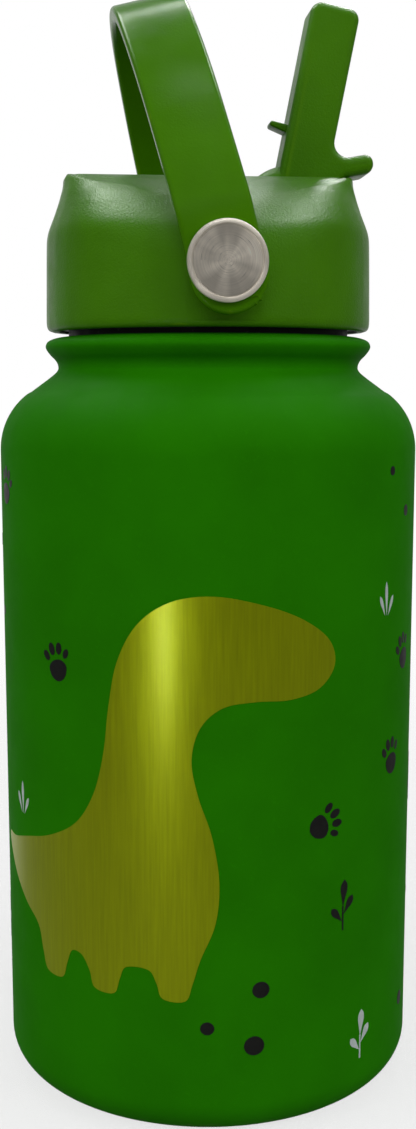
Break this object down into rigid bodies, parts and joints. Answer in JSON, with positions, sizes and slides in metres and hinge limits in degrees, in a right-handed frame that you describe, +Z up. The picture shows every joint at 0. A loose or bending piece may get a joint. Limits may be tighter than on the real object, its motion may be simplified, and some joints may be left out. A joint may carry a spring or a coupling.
{
  "type": "kids water bottle",
  "caption": "Double-walled steel kids drinking bottle with a screw-on lid, flip-up straw spout and swinging carry handle.",
  "frame": {"origin": "centre of the base, on the surface the bottle stands on", "axes": "+Z up along the bottle's axis; the spout is on the +X side of the lid; the handle's pivots are on the -Y (front) and +Y (rear) sides"},
  "size_m": [0.073, 0.073, 0.1879],
  "materials": {
    "green_powder_coat": "satin",
    "bare_steel": "brushed",
    "turned_steel": "turned",
    "getter_metal": "matte",
    "seal_glass": "satin",
    "green_plastic": "satin",
    "green_handle": "satin",
    "black_plastic": "satin",
    "black_silicone": "matte",
    "white_silicone": "matte",
    "clear_straw": "translucent",
    "gold_print": "brushed metallic ink",
    "black_print": "printed ink",
    "white_print": "printed ink"
  },
  "bodies": {
    "bottle": {"outer_shell": "green_powder_coat", "base_disc": "bare_steel", "vacuum_seal_bead": "seal_glass", "inner_liner": "bare_steel", "liner_bottom_cup": "bare_steel", "getter_holder": "bare_steel", "getter_pellet": "getter_metal"},
    "seal": {"lid_seal_ring": "black_silicone"},
    "lid": {"lid_shell": "green_plastic", "threaded_insert": "black_plastic", "drinking_straw": "clear_straw", "spout_seat_seal": "white_silicone", "vent_plug_seal": "white_silicone", "spout_pin": "bare_steel", "handle_stud_front": "bare_steel", "handle_stud_rear": "bare_steel", "stud_cap_front": "turned_steel", "stud_cap_rear": "turned_steel"},
    "spout": {"spout": "green_plastic"},
    "handle": {"carry_handle": "green_handle"}
  },
  "joints": [
    {"name": "lid_lift", "type": "slide", "parent": "bottle", "child": "seal", "axis": [0, 0, 1], "range_m": [0, 0.005]},
    {"name": "lid_turn", "type": "hinge", "parent": "seal", "child": "lid", "pos_m": [0, 0, 0.1315], "axis": [0, 0, 1], "range_deg": [0, 450]},
    {"name": "spout_flip", "type": "hinge", "parent": "lid", "child": "spout", "pos_m": [0.014, 0, 0.151], "axis": [0, 1, 0], "range_deg": [-101.2, 0]},
    {"name": "handle_swing", "type": "hinge", "parent": "lid", "child": "handle", "pos_m": [0, 0, 0.1413], "axis": [0, 1, 0], "range_deg": [-97, 25]}
  ],
  "couplings": [
    {"joint": "lid_lift", "follows": "lid_turn", "m_per_rad": 0.00063662}
  ]
}
